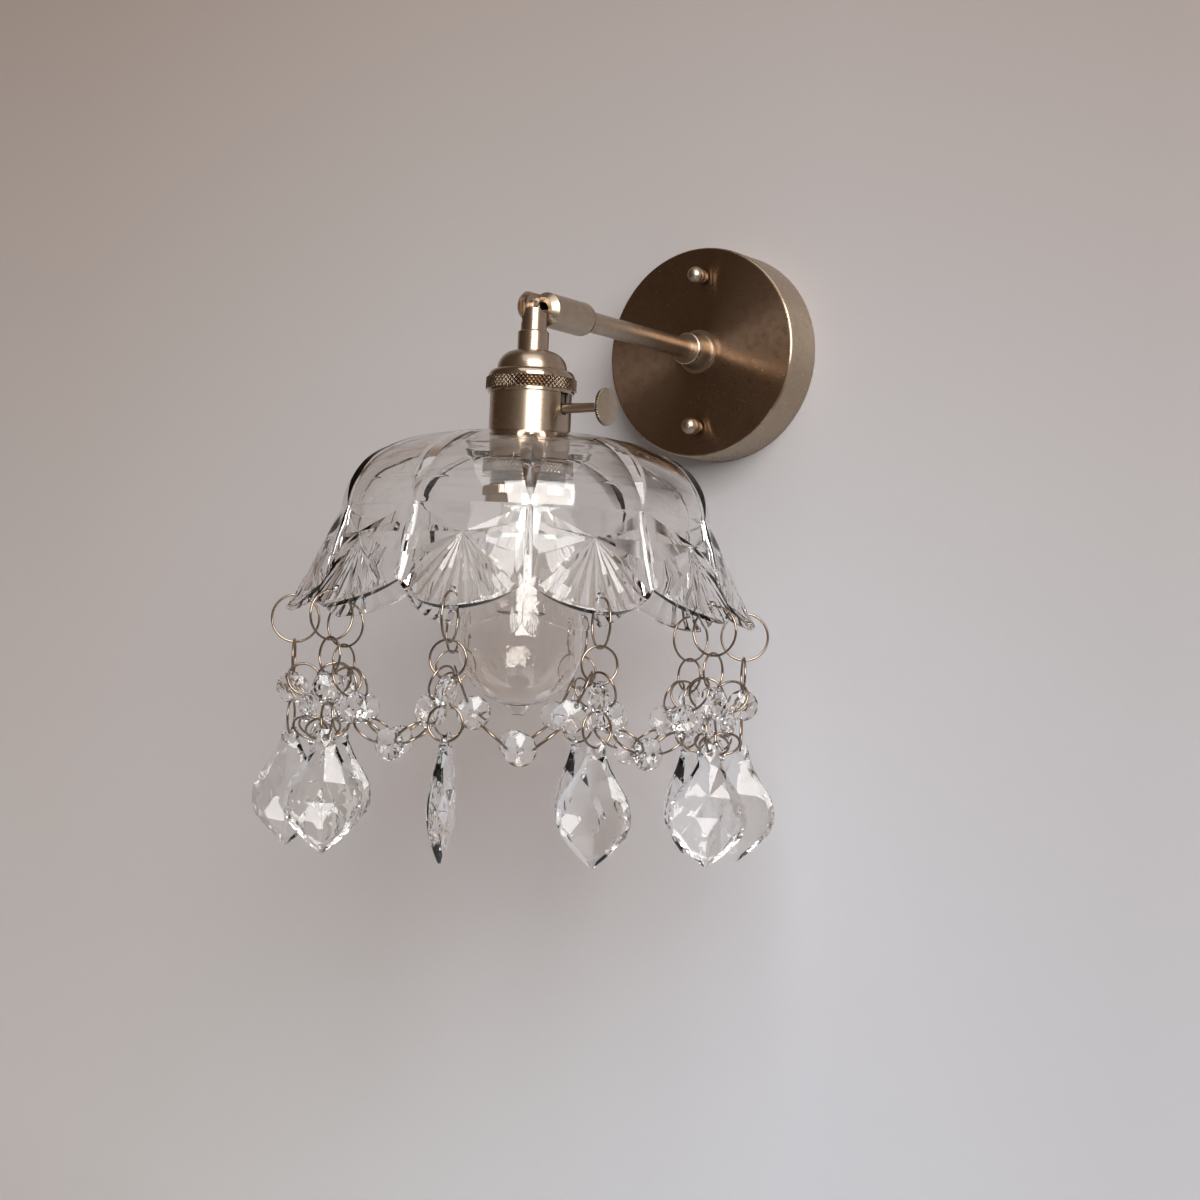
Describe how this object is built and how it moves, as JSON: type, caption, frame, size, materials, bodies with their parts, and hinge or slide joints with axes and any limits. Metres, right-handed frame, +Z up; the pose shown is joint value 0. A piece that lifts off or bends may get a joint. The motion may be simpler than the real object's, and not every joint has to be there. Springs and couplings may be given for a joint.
{
  "type": "wall sconce",
  "caption": "Wall sconce with a brass arm on a round plate, a tilting key-switch lampholder, a scalloped ribbed glass shade, and crystal drops and garlands.",
  "frame": {"origin": "on the wall, at the centre of the round wall plate", "axes": "+X to the right for someone who faces the wall, +Y into the wall, +Z up"},
  "size_m": [0.2649, 0.3197, 0.3406],
  "materials": {
    "aged_brass": "brushed, dark antique patina",
    "zinc_steel": "zinc plated",
    "shade_glass": "clear pressed glass",
    "bulb_glass": "clear blown glass",
    "crystal": "clear cut crystal",
    "phenolic": "dark brown moulded phenolic",
    "filament_wire": "bare tungsten"
  },
  "bodies": {
    "wall_arm": {"back_plate": "aged_brass", "mounting_bracket": "zinc_steel", "bracket_studs": "zinc_steel", "dome_nuts": "aged_brass", "nipple": "zinc_steel", "plate_washer": "zinc_steel", "lock_nut": "zinc_steel", "arm_collar": "aged_brass", "arm_tube": "aged_brass", "arm_knuckle": "aged_brass", "pivot_screw": "aged_brass"},
    "lampholder": {"neck": "aged_brass", "neck_nut": "zinc_steel", "socket_cap": "aged_brass", "cap_ring": "aged_brass", "socket_shell": "aged_brass", "socket_core": "phenolic", "centre_contact": "aged_brass", "screw_shell": "aged_brass", "threaded_skirt": "aged_brass", "shade_ring_upper": "aged_brass", "shade_ring_lower": "aged_brass", "glass_shade": "shade_glass", "bulb_cap": "aged_brass", "bulb_globe": "bulb_glass", "bulb_stem": "bulb_glass", "filament": "filament_wire", "hook_rings": "aged_brass", "link_rings": "aged_brass", "centre_beads": "crystal", "pendant_rings": "aged_brass", "garland_rings": "aged_brass", "garland_beads": "crystal"},
    "switch_key": {"switch_stem": "aged_brass", "switch_knob": "aged_brass"},
    "drop_01": {"pendant_01": "crystal"},
    "drop_02": {"pendant_02": "crystal"},
    "drop_03": {"pendant_03": "crystal"},
    "drop_04": {"pendant_04": "crystal"},
    "drop_05": {"pendant_05": "crystal"},
    "drop_06": {"pendant_06": "crystal"},
    "drop_07": {"pendant_07": "crystal"},
    "drop_08": {"pendant_08": "crystal"},
    "drop_09": {"pendant_09": "crystal"},
    "drop_10": {"pendant_10": "crystal"}
  },
  "joints": [
    {"name": "head_tilt", "type": "hinge", "parent": "wall_arm", "child": "lampholder", "pos_m": [0, -0.192, 0], "axis": [-1, 0, 0], "range_deg": [-2, 45]},
    {"name": "key_turn", "type": "hinge", "parent": "lampholder", "child": "switch_key", "pos_m": [0, -0.192, -0.0534], "axis": [1, 0, 0], "continuous": true},
    {"name": "drop_01_swing", "type": "hinge", "parent": "lampholder", "child": "drop_01", "pos_m": [0.0355, -0.30127, -0.22385], "axis": [0.9511, 0.309, 0], "range_deg": [-30, 30]},
    {"name": "drop_02_swing", "type": "hinge", "parent": "lampholder", "child": "drop_02", "pos_m": [0.09295, -0.25953, -0.22385], "axis": [0.309, 0.9511, 0], "range_deg": [-30, 30]},
    {"name": "drop_03_swing", "type": "hinge", "parent": "lampholder", "child": "drop_03", "pos_m": [0.11489, -0.192, -0.22385], "axis": [-0.2419, 0.9703, 0], "range_deg": [-30, 30]},
    {"name": "drop_04_swing", "type": "hinge", "parent": "lampholder", "child": "drop_04", "pos_m": [0.09295, -0.12447, -0.22385], "axis": [-0.4695, 0.8829, 0], "range_deg": [-30, 30]},
    {"name": "drop_05_swing", "type": "hinge", "parent": "lampholder", "child": "drop_05", "pos_m": [0.0355, -0.08273, -0.22385], "axis": [-0.9848, 0.1736, 0], "range_deg": [-30, 30]},
    {"name": "drop_06_swing", "type": "hinge", "parent": "lampholder", "child": "drop_06", "pos_m": [-0.0355, -0.08273, -0.22385], "axis": [-0.9781, -0.2079, 0], "range_deg": [-30, 30]},
    {"name": "drop_07_swing", "type": "hinge", "parent": "lampholder", "child": "drop_07", "pos_m": [-0.09295, -0.12447, -0.22385], "axis": [-0.6947, -0.7193, 0], "range_deg": [-30, 30]},
    {"name": "drop_08_swing", "type": "hinge", "parent": "lampholder", "child": "drop_08", "pos_m": [-0.11489, -0.192, -0.22385], "axis": [0.1392, -0.9903, 0], "range_deg": [-30, 30]},
    {"name": "drop_09_swing", "type": "hinge", "parent": "lampholder", "child": "drop_09", "pos_m": [-0.09295, -0.25953, -0.22385], "axis": [0.4695, -0.8829, 0], "range_deg": [-30, 30]},
    {"name": "drop_10_swing", "type": "hinge", "parent": "lampholder", "child": "drop_10", "pos_m": [-0.0355, -0.30127, -0.22385], "axis": [0.848, -0.5299, 0], "range_deg": [-30, 30]}
  ]
}
